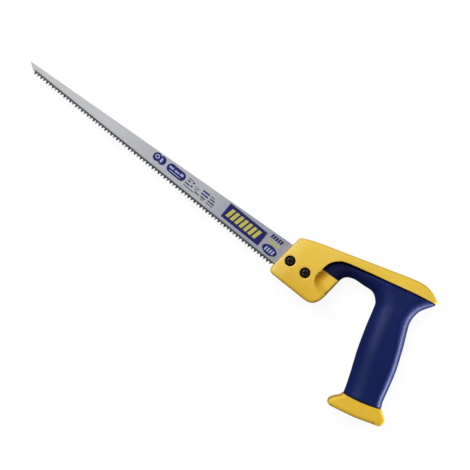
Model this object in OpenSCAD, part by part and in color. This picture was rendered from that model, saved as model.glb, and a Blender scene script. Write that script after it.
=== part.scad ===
// Pistol-grip hand saw with a tapered blade, lying on its side.
// X runs from the blade's nose to the handle, Y from the teeth to the back, Z is the thickness.
// The handle is drawn from the heel of the blade, then moved so that the origin is under the middle.

/* [Blade] */
// Length of the toothed edge
blade_len = 300; // [260:5:340]
// Thickness of the blade steel
blade_t = 1; // [0.8:0.1:1.4]
// Depth of the blade where it enters the handle
heel_depth = 26.5; // [24:0.5:28]
// Depth of the blade at its nose
nose_depth = 5; // [4:0.5:7]
// How far the slanted nose runs past the last tooth
nose_run = 7; // [5:0.5:9]
// Number of teeth
teeth = 80; // [60:1:100]
// Height of a tooth from gullet to point
tooth_h = 3.4; // [2.4:0.1:3.6]
// Length of the tang inside the handle
tang_len = 44; // [40:1:46]

/* [Block] */
// Full thickness of the handle
handle_t = 30; // [28:1:34]
// Thickness left in the finger scoop
web_t = 15; // [13:1:18]
// Rounding of the block's side edges
block_round = 3.5; // [2:0.5:4]
// Rise of the handle's back against the toothed edge, in degrees
back_angle = 18; // [17:0.5:19]

/* [Grip] */
// Angle of the grip against the toothed edge, in degrees
grip_angle = 70.5; // [69:0.5:72]
// Half width of the grip at its belly
belly_w = 21.5; // [20.5:0.25:22]
// Half width of the grip at its lower end
wrist_w = 19.7; // [19:0.1:20.5]
// Half thickness of the grip at its belly
belly_h = 14.3; // [13:0.1:14.5]
// Half thickness of the bar above the fingers
bar_h = 9.6; // [9:0.2:10.5]
// Half thickness of the tail behind the grip
tail_h = 11.4; // [10.5:0.1:12]
// Half thickness of the spine where it leaves the block
spine_h = 14; // [12:0.5:14.5]

/* [Fasteners] */
// Distance between the two blade screws
screw_pitch = 18.5; // [17:0.5:20]
// Distance of the screws from the toothed edge
screw_y = 12.8; // [12:0.2:14]
// Thread diameter of the screws
screw_d = 4; // [3.5:0.5:4]
// Diameter of the screw heads
head_d = 7.4; // [7:0.1:8]
// Outer diameter of the barrels of the nuts
barrel_d = 6; // [5.5:0.1:6.5]
// Diameter of the washers and of the nuts' flanges
flange_d = 10.4; // [10:0.1:11]
// Gap round the washers and barrels
clearance = 0.1; // [0.05:0.05:0.2]

/* [Hidden] */
half_t = handle_t / 2;
web_h = web_t / 2;
seat_depth = 3.2;
washer_t = 0.8;
head_h = 2.2;
recess_h = 1.4;
flange_t = 1.2;
pitch = blade_len / teeth;
gullet_y = 1;
tip_y = gullet_y - tooth_h;
screw_x = 10.9;
wall_gap = 0.15;
$fn = 48;

// ---- curves ----
function mix(a, b, t) = a + (b - a) * t;
// Catmull-Rom span from b to c
function span(a, b, c, d, t) =
    0.5 * (2 * b + (c - a) * t + (2 * a - 5 * b + 4 * c - d) * t * t + (3 * b - a - 3 * c + d) * t * t * t);
// Smooth curve through a list of points or rows, n steps to each span
function curve(p, n) = [
    for (i = [0 : len(p) - 2]) for (k = [0 : n - 1])
        span(p[max(i - 1, 0)], p[i], p[i + 1], p[min(i + 2, len(p) - 1)], k / n),
    p[len(p) - 1]
];
function unit(v) = v / norm(v);
// A closed counter-clockwise outline moved inwards by d
function inset(p, d) = [
    for (i = [0 : len(p) - 1])
        let (n = len(p),
             u = unit(p[i] - p[(i + n - 1) % n]),
             v = unit(p[(i + 1) % n] - p[i]),
             m = unit(u + v))
            p[i] + d / max(m * u, 0.7) * [-m[1], m[0]]
];

// ---- outlines, from the heel of the blade ----
// A point of the grip: s down its axis, o across it towards the rear
grip_top = [124.5, 25];
function gp(s, o) =
    grip_top + s * [cos(grip_angle), -sin(grip_angle)] + o * [sin(grip_angle), cos(grip_angle)];
// Lower ends of the grip's front and rear edges
grip_end_front = gp(77.8, -20);
grip_end_rear = gp(80.2, 20.2);

// Back of the handle: the straight spine, which curves down to the block and to the tail
function back_y(x) = 57.1 + (x - 60) * tan(back_angle);
tail_tip = [148, 70.3];
top_block = [[4.4, 36.3], [10.4, 39.7], [17, 42.6], [24, 45.3], [31, 47.7], [41, 51], [62, back_y(62)]];
top_spine = [[42, back_y(42) - 0.1], [60, back_y(60)], [80, back_y(80)], [100, back_y(100)],
             [113, back_y(113)], [122, 76.4], [130, 77.2], [138, 76], [144, 73.6], tail_tip];
// Seam between the hard spine and the soft grip, from the block to the tail
seam = [[50, 44], [64, 49], [80, 53.2], [98, 57.8], [115, 62.2], [125, 64.7], [135, 67.2],
        [140, 68.4], [144, 69.2], [147.2, 69.6]];
// Notch of the block that the soft grip fills: its lower front and lower rear corners
notch_front = [40.4, 26.6];
notch_rear = [60.6, 27.5];
notch = concat([notch_rear + [4, 0.2]],
               curve([notch_front, [41.2, 32.5], [44.3, 39], [50, 44]], 3), [[54, 62], [66, 62]]);

block = concat(
    [[0.1, -4], [1.6, -7], [4.8, -8.1]],
    curve([[45, -8.1], [52, -6.2], [56.6, -1.5], [58.6, 6]], 2),
    [[59.6, 16], notch_rear, [62, 40]],
    [for (i = [len(top_block) - 1 : -1 : 0]) top_block[i]]
);

// Rows of the soft grip: front x and y, rear x and y, half thickness, roundness of the rear edge
grip_rows = [
    row(grip_end_front, grip_end_rear, 13, 1),
    row(gp(70, -wrist_w), gp(72, wrist_w - 0.2), 12.9, 1),
    row(gp(50, -mix(wrist_w, belly_w, 0.6)), gp(52, mix(wrist_w, belly_w, 0.75)), 13.6, 1),
    row(gp(26, -belly_w + 0.1), gp(32, belly_w + 0.2), belly_h, 1),
    row(gp(8, -belly_w + 0.7), gp(14, belly_w - 0.7), 14, 1),
    row(gp(-6, -19.9), gp(-4, 18.7), 13.3, 1),
    row([101.2, 31.8], [138.7, 45], 12.9, 1),
    row([99, 35.2], [140.6, 55.5], 12.4, 1),
    row([96.8, 37.4], seam[9], tail_h, 0.9)
];
// Rows of the bar above the fingers, from the tail to the block
bar_rows = [
    row([96.3, 37.7], seam[8], tail_h - 0.1, 0),
    row([94.8, 38.5], seam[6], tail_h - 0.3, 0),
    row([92, 39.6], seam[4], tail_h - 0.7, 0),
    row([88.6, 40.1], seam[3], mix(tail_h, bar_h, 0.7), 0),
    row([80, 39.5], seam[2], bar_h, 0),
    row([70, 38.2], seam[1], 9.2, 0),
    row([64.2, 35], seam[0], 8.8, 0),
    row([61.4, 30.4], [43, 37], 8.4, 0),
    row(notch_rear, notch_front, 8.2, 0)
];
function row(a, b, h, r) = [a[0], a[1], b[0], b[1], h, r];

// Rows of the spine, from its rounded back to its flat seam with the soft grip
spine_rows = [
    for (i = [0 : len(seam) - 1])
        let (t = i / (len(seam) - 1))
            row(top_spine[i], seam[i], mix(spine_h, tail_h, min(t * 2, 1)) * (1 - max(t - 0.7, 0)), 0)
];

butt = concat(
    [grip_end_rear + [0, -0.2]],
    [grip_end_front + [0, -0.2]],
    curve([grip_end_front + [-2.3, -1.8], [126.6, -60.6], [123.4, -65.2], [123.6, -69.3],
           [127, -71.8], [132, -71.8]], 2),
    curve([[140, -70], [155, -66.3], [168, -62.2], [175.5, -59.2], [180.3, -53.8], [177.4, -48]], 2)
);

// Hard bone inside the soft grip, down to the butt cap
bone_h = 7;
bone = [gp(76, -12), gp(76, 12), gp(20, 12), gp(-10, 10), [136, 70], [118, 66], [64, 52], [47, 47],
        [47, 38], [52, 40.5], [70, 43.6], [98, 48.5], gp(-6, -7), gp(12, -12)];
// Hollow of the bone, which the spigot of the butt cap fits
pocket_w = 18;
pocket_h = 4.4;
pocket_s = 12;
spigot_s = 58;

// The whole handle and blade reach from lo to hi
function low(p, k) = min([for (q = p) q[k]]);
function high(p, k) = max([for (q = p) q[k]]);
lo = [-blade_len - nose_run, low(butt, 1)];
hi = [high(butt, 0), high(curve(top_spine, 4), 1)];
centre = (lo + hi) / 2;
screws = [screw_x, screw_x + screw_pitch];

// ---- shapes ----
module in_frame() {
    translate([-centre[0], -centre[1], half_t]) children();
}

// Closed rings of points joined into a solid, ring 0 and the last ring being its ends
module rings(r) {
    m = len(r[0]);
    n = len(r);
    points = [for (ring = r) each ring];
    sides = [for (i = [0 : n - 2]) for (k = [0 : m - 1])
        let (a = i * m + k, b = i * m + (k + 1) % m) each [[a, b + m, b], [a, a + m, b + m]]];
    ends = [[for (k = [0 : m - 1]) k], [for (k = [m - 1 : -1 : 0]) (n - 1) * m + k]];
    polyhedron(points, concat(sides, ends), convexity = 8);
}

// A flat body with rounded side edges: outline p, half thickness h, rounding r
module slab(p, h, r) {
    steps = 3;
    lower = [for (k = [0 : steps]) let (a = 90 * k / steps)
        [for (q = inset(p, r * (1 - sin(a)))) [q[0], q[1], -(h - r) - r * cos(a)]]];
    upper = [for (k = [steps : -1 : 0]) let (a = 90 * k / steps)
        [for (q = inset(p, r * (1 - sin(a)))) [q[0], q[1], (h - r) + r * cos(a)]]];
    rings(concat(lower, upper));
}

// Height of a section at t, from 0 at its front to 1 at its rear
edge_h = 0.08;
function dome(u) = sqrt(max(1 - pow(1 - min(u * 2, 1), 2), edge_h * edge_h));
function section_h(t, h, r) = h * dome(t) * mix(1, dome(1 - t), r);
// Ring round one row, its upper side first
ring_steps = 10;
function ring(w) = let (f = [w[0], w[1]], b = [w[2], w[3]]) concat(
    [for (k = [0 : ring_steps]) let (t = (1 - cos(180 * k / ring_steps)) / 2, q = mix(f, b, t))
        [q[0], q[1], section_h(t, w[4], w[5])]],
    [for (k = [ring_steps : -1 : 0]) let (t = (1 - cos(180 * k / ring_steps)) / 2, q = mix(f, b, t))
        [q[0], q[1], -section_h(t, w[4], w[5])]]
);
module loft(rows) {
    rings([for (w = rows) ring(w)]);
}

// ---- blade ----
function tang(g) = [[-6, gullet_y + 0.6 - g], [tang_len - 4, gullet_y + 3 - g], [tang_len + g, gullet_y + 7],
                    [tang_len + g, heel_depth - 5], [tang_len - 4, heel_depth - 1.5 + g], [-6, heel_depth + g]];
function back_of_blade(x) = mix(heel_depth, nose_depth, -x / (blade_len + nose_run));

module blade() {
    tooth_line = [for (i = [0 : teeth - 1]) each [[-(i + 1) * pitch, gullet_y], [-(i + 0.5) * pitch, tip_y]]];
    outline = concat(
        [[0, gullet_y]],
        [for (i = [0 : teeth - 1]) each [[-(i + 0.5) * pitch, tip_y], [-(i + 1) * pitch, gullet_y]]],
        [[-blade_len - nose_run, nose_depth], [0, heel_depth]],
        [for (i = [4 : -1 : 1]) tang(0)[i]]
    );
    color("gainsboro") in_frame() difference() {
        translate([0, 0, -blade_t / 2]) linear_extrude(blade_t) polygon(outline);
        for (x = screws) translate([x, screw_y, -1]) cylinder(d = barrel_d + 2 * clearance, h = 2);
    }
}

// ---- handle ----
module scoop() {
    edge = curve([[43, 30], [40.9, 24], [40.8, 18.5], [42, 14], [45, 9.8], [50, 7.2], [56, 5.8], [64, 5.4]], 3);
    for (s = [-1, 1])
        translate([0, 0, s > 0 ? web_h : -half_t - 1])
            linear_extrude(half_t - web_h + 1) polygon(concat(edge, [[64, 30]]));
}

module handle_core() {
    color("gold") in_frame() difference() {
        union() {
            difference() {
                slab(block, half_t, block_round);
                translate([0, 0, -half_t - 1]) linear_extrude(handle_t + 2) polygon(notch);
            }
            loft(curve(spine_rows, 3));
            translate([0, 0, -bone_h]) linear_extrude(2 * bone_h) polygon(bone);
        }
        scoop();
        pocket();
        translate([0, 0, -blade_t / 2]) linear_extrude(blade_t) polygon(tang(wall_gap));
        for (x = screws) translate([x, screw_y, 0]) screw_seat();
    }
}

// Stepped hole for one screw, its washer and its barrel nut
module screw_seat() {
    translate([0, 0, -half_t - 1]) cylinder(d = barrel_d + 2 * clearance, h = handle_t + 2);
    translate([0, 0, half_t - seat_depth]) cylinder(d = flange_d + 2 * clearance, h = seat_depth + 1);
    translate([0, 0, -half_t - 1]) cylinder(d = flange_d + 2 * clearance, h = flange_t + 1.2);
}

module pocket() {
    a = gp(pocket_s, 0);
    translate([a[0], a[1], 0]) rotate(-grip_angle)
        translate([0, -pocket_w / 2, -pocket_h]) cube([90, pocket_w, 2 * pocket_h]);
}

module soft_grip() {
    color("midnightblue") in_frame() difference() {
        loft(concat(curve(grip_rows, 3), curve(bar_rows, 3)));
        translate([0, 0, -bone_h]) linear_extrude(2 * bone_h) polygon(bone);
    }
}

module butt_cap() {
    a = gp(spigot_s, 0);
    color("gold") in_frame() union() {
        slab(butt, half_t, 4);
        translate([a[0], a[1], 0]) rotate(-grip_angle)
            translate([0, -pocket_w / 2 + 0.2, -pocket_h + 0.2]) cube([30, pocket_w - 0.4, 2 * pocket_h - 0.4]);
    }
}

// ---- fasteners ----
module at_screw(i) {
    in_frame() translate([screws[i], screw_y, 0]) children();
}

module screw() {
    seat_z = half_t - seat_depth + washer_t;
    color("dimgray") difference() {
        union() {
            translate([0, 0, seat_z]) cylinder(d = head_d, h = head_h);
            translate([0, 0, -half_t + 4]) cylinder(d = screw_d, h = seat_z + half_t - 4 + 0.5);
        }
        for (a = [0, 90]) rotate(a)
            translate([-2.2, -0.5, seat_z + head_h - recess_h]) cube([4.4, 1, recess_h + 1]);
    }
}

module washer() {
    color("black") translate([0, 0, half_t - seat_depth]) difference() {
        cylinder(d = flange_d, h = washer_t);
        translate([0, 0, -1]) cylinder(d = screw_d + 0.3, h = washer_t + 2);
    }
}

module barrel_nut() {
    color("black") difference() {
        union() {
            translate([0, 0, -half_t + 0.2]) cylinder(d = flange_d, h = flange_t);
            translate([0, 0, -half_t + 0.2]) cylinder(d = barrel_d, h = handle_t - seat_depth - 0.4);
        }
        translate([0, 0, -half_t - 1]) cylinder(d = screw_d, h = handle_t);
    }
}

module front_screw() { at_screw(0) screw(); }
module rear_screw() { at_screw(1) screw(); }
module front_washer() { at_screw(0) washer(); }
module rear_washer() { at_screw(1) washer(); }
module front_nut() { at_screw(0) barrel_nut(); }
module rear_nut() { at_screw(1) barrel_nut(); }

blade();
handle_core();
soft_grip();
butt_cap();
front_screw();
rear_screw();
front_washer();
rear_washer();
front_nut();
rear_nut();
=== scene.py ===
import math

import bpy
import numpy as np
from mathutils import Matrix, Vector
from mathutils.geometry import delaunay_2d_cdt


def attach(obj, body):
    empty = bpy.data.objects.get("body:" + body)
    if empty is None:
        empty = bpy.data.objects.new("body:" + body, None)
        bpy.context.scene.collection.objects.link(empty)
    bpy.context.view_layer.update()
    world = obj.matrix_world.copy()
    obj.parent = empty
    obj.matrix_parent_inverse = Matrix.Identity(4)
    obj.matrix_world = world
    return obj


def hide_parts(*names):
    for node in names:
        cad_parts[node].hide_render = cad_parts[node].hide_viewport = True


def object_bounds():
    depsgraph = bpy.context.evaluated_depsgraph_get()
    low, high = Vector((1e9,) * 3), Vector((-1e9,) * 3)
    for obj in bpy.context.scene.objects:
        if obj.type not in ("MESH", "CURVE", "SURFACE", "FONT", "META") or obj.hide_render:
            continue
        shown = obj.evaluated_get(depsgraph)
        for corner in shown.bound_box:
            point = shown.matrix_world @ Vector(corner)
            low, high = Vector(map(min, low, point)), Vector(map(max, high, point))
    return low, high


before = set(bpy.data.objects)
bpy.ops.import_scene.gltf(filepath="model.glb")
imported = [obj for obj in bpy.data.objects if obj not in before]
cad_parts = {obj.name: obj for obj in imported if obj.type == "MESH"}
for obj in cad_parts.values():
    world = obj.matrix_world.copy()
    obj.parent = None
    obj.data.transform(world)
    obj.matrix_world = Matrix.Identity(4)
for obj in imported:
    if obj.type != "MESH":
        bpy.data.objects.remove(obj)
CAD_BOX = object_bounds()

# The looks of the pistol-grip saw. All outlines are in millimetres from the heel of the blade, where the
# toothed edge meets the handle: x towards the handle, y from the teeth to the back, z from the middle of
# the thickness. to_frame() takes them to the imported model's frame, in metres.

# ---- driving dimensions, as in the CAD model, in millimetres ----
MM = 0.001
BLADE_LEN = 300.0
NOSE_RUN = 7.0
NOSE_DEPTH = 5.0
HEEL_DEPTH = 26.5
BLADE_T = 1.0
TEETH = 80
HALF_T = 15.0
WEB_H = 7.5
BACK_ANGLE = math.radians(18.0)
GRIP_ANGLE = math.radians(70.5)
SCREW_X = (10.9, 29.4)
SCREW_Y = 12.8
LOWEST_Y = -71.956

HEEL = Vector((CAD_BOX[0][0] + (BLADE_LEN + NOSE_RUN) * MM, CAD_BOX[0][1] - LOWEST_Y * MM,
               (CAD_BOX[0][2] + CAD_BOX[1][2]) / 2))


def to_frame(points):
    """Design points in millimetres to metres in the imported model's frame."""
    p = np.asarray(points, float) * MM
    return p + np.array(HEEL)


# ---- curves ----
SPAN_SAMPLES = 24


def spline(points, step=1.0):
    """A Catmull-Rom curve through the points, resampled evenly at about the step."""
    p = np.asarray(points, float)
    q = np.vstack([p[0], p, p[-1]])
    t = np.linspace(0, 1, SPAN_SAMPLES, endpoint=False)[:, None]
    parts = [0.5 * (2 * b + (c - a) * t + (2 * a - 5 * b + 4 * c - d) * t ** 2
                    + (3 * b - a - 3 * c + d) * t ** 3)
             for a, b, c, d in zip(q[:-3], q[1:-2], q[2:-1], q[3:])]
    return resample(np.vstack(parts + [p[-1:]]), step)


def resample(line, step):
    """The same line with evenly spaced points."""
    run = np.concatenate([[0], np.cumsum(np.linalg.norm(np.diff(line, axis=0), axis=1))])
    count = max(1, int(round(run[-1] / step)))
    at = np.linspace(0, run[-1], count + 1)
    return np.column_stack([np.interp(at, run, line[:, k]) for k in range(2)])


def arc(centre, radius, start, end, step):
    """An arc from the start angle to the end angle, in degrees."""
    count = max(2, int(abs(math.radians(end - start)) * radius / step))
    a = np.radians(np.linspace(start, end, count + 1))
    return np.column_stack([centre[0] + radius * np.cos(a), centre[1] + radius * np.sin(a)])


def corner(before, point, after, radius, step):
    """A round corner of the given radius between two straight edges."""
    a, p, b = (np.asarray(v, float) for v in (before, point, after))
    u, v = (a - p) / np.linalg.norm(a - p), (b - p) / np.linalg.norm(b - p)
    half = math.acos(float(np.clip(u @ v, -1, 1))) / 2
    middle = p + (u + v) / np.linalg.norm(u + v) * radius / math.sin(half)
    ends = [p + w * radius / math.tan(half) - middle for w in (u, v)]
    a0, a1 = (math.degrees(math.atan2(e[1], e[0])) for e in ends)
    turn = (a1 - a0 + 180) % 360 - 180
    return arc(middle, radius, a0, a0 + turn, step)


def join(*lines, gap=0.05):
    """Lines joined end to end, without points closer than the gap."""
    p = np.vstack(lines)
    keep = np.concatenate([[True], np.linalg.norm(np.diff(p, axis=0), axis=1) > gap])
    return p[keep]


# ---- outlines ----
BACK_POINT = (60, 56.5)
NOTCH_REAR = (60.8, 27.5)
NOTCH_FRONT = (40.4, 26.2)
TAIL = (148.2, 69.2)
FRONT_TOP = (5.0, 36.3)
FRONT_LOW = (1.0, -8)
FRONT_LOW_R = 5.0
FRONT_TOP_R = 2.2
GRIP_END_FRONT = (132.2, -54.7)
GRIP_END_REAR = (170.9, -43.6)


def back_y(x):
    """Height of the straight part of the handle's back."""
    return BACK_POINT[1] + (x - BACK_POINT[0]) * math.tan(BACK_ANGLE)


opening = spline([NOTCH_REAR, (61.5, 31), (63.2, 33.9), (65.4, 35.9), (70, 38), (74.7, 38.8), (80, 39.2),
                  (84.7, 39.6), (89, 40.1), (92, 40), (94.7, 39.2), (98, 36.9), (100.6, 34.4), (102, 32.2),
                  (103.4, 28), (105, 22.5), (107.7, 12.9), (110.7, 3.4), (113.8, -6), (117.2, -15.4),
                  (121, -24.7), (124.8, -33.9), (128.4, -43.2), (131, -50.8), GRIP_END_FRONT])
grip_rear = spline([GRIP_END_REAR, (169.6, -41.2), (167.6, -36.4), (165.6, -28.8), (163.5, -21.1),
                    (161.4, -13.3), (159, -5.7), (156.2, 1.7), (153.1, 9.1), (150.1, 16.5), (146.7, 23.7),
                    (143.3, 31), (140.3, 38.2), (139.3, 45.9), (140.5, 53.7), (144.1, 60.5), (147.4, 65.6),
                    (148.6, 67.8), TAIL])
grip_end = spline([GRIP_END_FRONT, (141.6, -52.9), (150.6, -50.7), (160.6, -47.6), GRIP_END_REAR])
seam = spline([TAIL, (144, 68.5), (135, 66.6), (125, 64.3), (115, 61.8), (98, 57.4), (80, 52.9),
               (64, 48.7), (55, 46), (50, 43.6), (44.5, 38.6), (41.4, 32.8), NOTCH_FRONT])
notch_edge = resample(np.array([NOTCH_FRONT, NOTCH_REAR]), 1.0)

back = spline([(6.5, 37.4), (10.5, 39.4), (16.3, 41.8), (26.5, 45.7), (37, 49), (47.4, 52.4)]
              + [(x, back_y(x)) for x in (60, 80, 100, 110)]
              + [(120.4, 75.7), (126, 76.7), (131.2, 76.9), (137, 76.1), (141.8, 74.5), (145.4, 72.9),
                 (147.9, 71.6), (148.9, 70.7), (148.8, 69.8), TAIL])
block_bottom = join(corner((0.9, 30), FRONT_LOW, (50, -8), FRONT_LOW_R, 0.5),
                    resample(np.array([[6.0, -8.1], [42.5, -7.9]]), 1.0),
                    spline([(43.5, -7.9), (48.3, -7.45), (51, -6.6), (53.3, -5.2), (55.2, -3.2),
                            (56.5, -0.9), (57.6, 1.7), (58.2, 4.6), (58.7, 7.6), (59.05, 10)], 0.6))
block_rear = spline([(59.05, 10), (59.5, 13.5), (60.0, 17), (60.35, 22), NOTCH_REAR])
block_nose = resample(np.array([[4.75, 33.8], block_bottom[0]]), 1.0)
front_corner = corner(block_bottom[0], FRONT_TOP, back[0], FRONT_TOP_R, 0.4)

butt_top = grip_end[::-1]
butt_front = spline([GRIP_END_FRONT, (131.9, -57.3), (129.5, -60.1), (127.3, -62.9), (125.5, -65.6),
                     (125.1, -67.5), (125.4, -69.1), (126.1, -70.6), (127.4, -71.65), (129.6, -71.8)], 0.6)
butt_bottom = spline([(129.6, -71.8), (135.7, -70.3), (141.5, -69.05), (147.2, -67.6), (153.1, -66.2),
                      (158.7, -64.45), (164.3, -62.6), (170, -60.65), (173, -59.7)])
butt_rear = spline([(173, -59.7), (176.1, -58.65), (177.9, -57.8), (179.2, -56.5), (179.8, -54.8),
                    (180.05, -53), (179.9, -51.3), (179.2, -49.8), (177.9, -48.5), (174.8, -46.6),
                    (172.3, -45.1), GRIP_END_REAR], 0.6)


# ---- slabs: closed bodies with one height over the outline, above and below the middle ----
SEGMENTS_AT_ONCE = 64
ROW_TURN = 8            # degrees of a round edge between two of its rows
ROW_LIMIT = 4.5         # the deepest that a row goes
ROW_SLACK = 0.985       # a row's point is dropped if its edge is nearer than this share of its depth
OUTLINE_GAP = 0.5       # the inner grid's distance from the outline, in grid steps
ROW_GAP = 0.4           # and its distance from the rows
POINT_GAP = 0.02        # the least distance of any point from the outline
HOLE_GAP = 0.05         # and from a hole
HOLE_SIDES = 48
ON_RIM = 0.01           # a point this near a hole's circle is on its rim
MERGE = 1e-4            # points nearer than this are one in the triangulation
NO_HEIGHT = 0.02        # a point that is no higher than this lies on the middle plane


def distance(points, line):
    """Shortest distance from each point to the line."""
    p = np.asarray(points, float)
    a, b = line[:-1], line[1:]
    ab = b - a
    best = np.full(len(p), 1e9)
    for i in range(0, len(a), SEGMENTS_AT_ONCE):
        some = slice(i, i + SEGMENTS_AT_ONCE)
        d = p[:, None, :] - a[None, some]
        t = np.clip((d * ab[some]).sum(-1) / np.maximum((ab[some] ** 2).sum(-1), 1e-12), 0, 1)
        gap = np.linalg.norm(d - t[..., None] * ab[some], axis=-1)
        best = np.minimum(best, gap.min(1))
    return best


def inside(points, loop):
    """True for each point inside the closed loop."""
    p = np.asarray(points, float)
    hit = np.zeros(len(p), bool)
    for (x0, y0), (x1, y1) in zip(loop, np.roll(loop, -1, axis=0)):
        cross = (y0 > p[:, 1]) != (y1 > p[:, 1])
        if y0 != y1:
            hit ^= cross & (p[:, 0] < (x1 - x0) * (p[:, 1] - y0) / (y1 - y0) + x0)
    return hit


def edge_layers(radius, most):
    """Depths of the rows that follow a rounded edge of the radius, down to the depth of most."""
    depth = [radius * (1 - math.cos(math.radians(a))) for a in range(ROW_TURN, 91, ROW_TURN)]
    return [d for d in depth if d <= most]


def slab_points(loop, layered, holes, grid):
    """Points over the outline: rows along each rounded edge, and an even grid inside."""
    rows, limits = [], []
    for line, radius in layered:
        most = min(radius, ROW_LIMIT)
        step = np.gradient(line, axis=0)
        normal = np.column_stack([-step[:, 1], step[:, 0]])
        normal /= np.linalg.norm(normal, axis=1)[:, None]
        for depth in edge_layers(radius, most):
            p = line + normal * depth
            rows.append(p[(distance(p, line) > depth * ROW_SLACK) & inside(p, loop)])
        limits.append((line, most))
    lo, hi = loop.min(0), loop.max(0)
    xs = np.arange(lo[0], hi[0], grid)
    ys = np.arange(lo[1], hi[1], grid * math.sqrt(3) / 2)
    mesh = np.array([(x + (grid / 2 if j % 2 else 0), y) for j, y in enumerate(ys) for x in xs])
    mesh = mesh[inside(mesh, loop)]
    closed = np.vstack([loop, loop[:1]])
    mesh = mesh[distance(mesh, closed) > grid * OUTLINE_GAP]
    for line, most in limits:
        mesh = mesh[distance(mesh, line) > most + grid * ROW_GAP]
    points = np.vstack(rows + [mesh])
    points = points[distance(points, closed) > POINT_GAP]
    for centre, radius in holes:
        points = points[np.linalg.norm(points - centre, axis=1) > radius + HOLE_GAP]
    return points


def triangulate(loops, points):
    """Triangles over the first loop, less the later ones, through all the points."""
    verts, edges = [], []
    for loop in loops:
        n = len(verts)
        verts += [tuple(p) for p in loop]
        edges += [(n + i, n + (i + 1) % len(loop)) for i in range(len(loop))]
    verts += [tuple(p) for p in points]
    out = delaunay_2d_cdt([Vector(v) for v in verts], edges, [], 0, MERGE)
    v = np.array([tuple(p) for p in out[0]])
    f = np.array([t for t in out[2] if len(t) == 3])
    middle = v[f].mean(1)
    keep = inside(middle, np.array(loops[0]))
    for hole in loops[1:]:
        keep &= ~inside(middle, np.array(hole))
    return v, f[keep]


def border(faces):
    """Edges that belong to one triangle, each in its triangle's direction."""
    seen = {}
    for f in faces:
        for a, b in zip(f, np.roll(f, -1)):
            seen[(a, b)] = True
    return [(a, b) for a, b in seen if (b, a) not in seen]


def new_object(name, verts, faces, material, smooth=35):
    """A mesh object from design points, shaded smooth up to the given angle."""
    mesh = bpy.data.meshes.new(name)
    mesh.from_pydata([tuple(p) for p in to_frame(verts)], [], [tuple(int(i) for i in f) for f in faces])
    mesh.validate()
    mesh.update()
    mesh.shade_smooth()
    mesh.set_sharp_from_angle(angle=math.radians(smooth))
    mesh.materials.append(material)
    obj = bpy.data.objects.new(name, mesh)
    bpy.context.scene.collection.objects.link(obj)
    return obj


def slab(height, loop, layered, holes=(), grid=1.3):
    """A body over the loop with the given height above and below the middle, closed but for its holes.
    Also gives the numbers of its upper and lower points, and each hole's run of rim points."""
    turn = np.linspace(0, 2 * math.pi, HOLE_SIDES + 1)[:-1]
    rims = [np.column_stack([c[0] + r * np.cos(turn), c[1] + r * np.sin(turn)]) for c, r in holes]
    points = slab_points(loop, layered, holes, grid)
    plane, faces = triangulate([loop] + rims, points)
    h = height(plane)
    faces = faces[(h[faces] > NO_HEIGHT).any(1)]
    used = np.unique(faces)
    top = {int(i): k for k, i in enumerate(used)}
    verts = [(*plane[i], h[i]) for i in used]
    low = {}
    for i in used:
        if h[i] <= NO_HEIGHT:
            verts[top[int(i)]] = (*plane[i], 0.0)
            low[int(i)] = top[int(i)]
        else:
            low[int(i)] = len(verts)
            verts.append((*plane[i], -h[i]))
    solid = [[top[int(i)] for i in f] for f in faces] + [[low[int(i)] for i in f[::-1]] for f in faces]
    rim = {}
    for a, b in border(faces):
        if any(abs(np.linalg.norm(plane[a] - c) - r) < ON_RIM for c, r in holes):
            rim[int(b)] = int(a)
            continue
        wall = [top[int(b)], top[int(a)], low[int(a)], low[int(b)]]
        wall = [v for k, v in enumerate(wall) if v != wall[k - 1]]
        if len(wall) > 2:
            solid.append(wall)
    return verts, solid, top, low, rim


def rim_loops(rim):
    """The closed runs of a map from each rim point to the next."""
    rim = dict(rim)
    while rim:
        at, run = next(iter(rim)), []
        while at in rim:
            run.append(at)
            at = rim.pop(at)
        yield run


def smoothstep(a, b, x):
    """0 up to a, 1 from b on, and a smooth rise between."""
    t = np.clip((x - a) / (b - a), 0, 1)
    return t * t * (3 - 2 * t)


def rounding(d, radius):
    """How far into the round edge each point is, from 0 inside to 1 on the edge."""
    return np.clip(1 - d / radius, 0, 1)


def quarter(square):
    """Drop of a round edge of unit depth, from the square of the rounding."""
    return 1 - np.sqrt(1 - square)


# ---- heights of the overmould: each ROUND is how wide a rounded edge is, each DROP how far it falls ----
GRIP_TOP = np.array([125.3, 25.1])
BAR_X, BAR_H = (38, 50, 64, 80, 98, 112, 125), (7.8, 7.2, 7.2, 8.4, 9.8, 10.8, 11.2)
GRIP_S, GRIP_H = (-50, -25, -6, 12, 30, 51, 71, 80), (10.6, 11.8, 13.2, 14.0, 14.3, 13.6, 12.9, 13.1)
BAR_FADE = (-44, -14)
BAR_ROUND = 10.0
GRIP_ROUND = 19.4
REAR_S, REAR_ROUND = (0, 25), (12.0, 8.8)
END_ROUND, END_DROP = 2.1, 3.6
SEAM_ROUND, SEAM_DROP = 2.6, 3.2
THIN = 0.03             # lower points are taken down to the middle plane
FULL_CUT = 3            # the cuts have their full depth from this height on


def grip_coords(p):
    """Distance down the grip from its top, and distance across it to the rear."""
    d = p - GRIP_TOP
    s = d @ np.array([math.cos(GRIP_ANGLE), -math.sin(GRIP_ANGLE)])
    o = d @ np.array([math.sin(GRIP_ANGLE), math.cos(GRIP_ANGLE)])
    return s, o


def soft(x, xs, ys):
    """Interpolation through a few values, rounded at each by averaging nearby."""
    span = (xs[-1] - xs[0]) / len(xs) * 0.5
    return sum(np.interp(x + k * span, xs, ys) for k in (-1, -0.5, 0, 0.5, 1)) / 5


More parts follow.
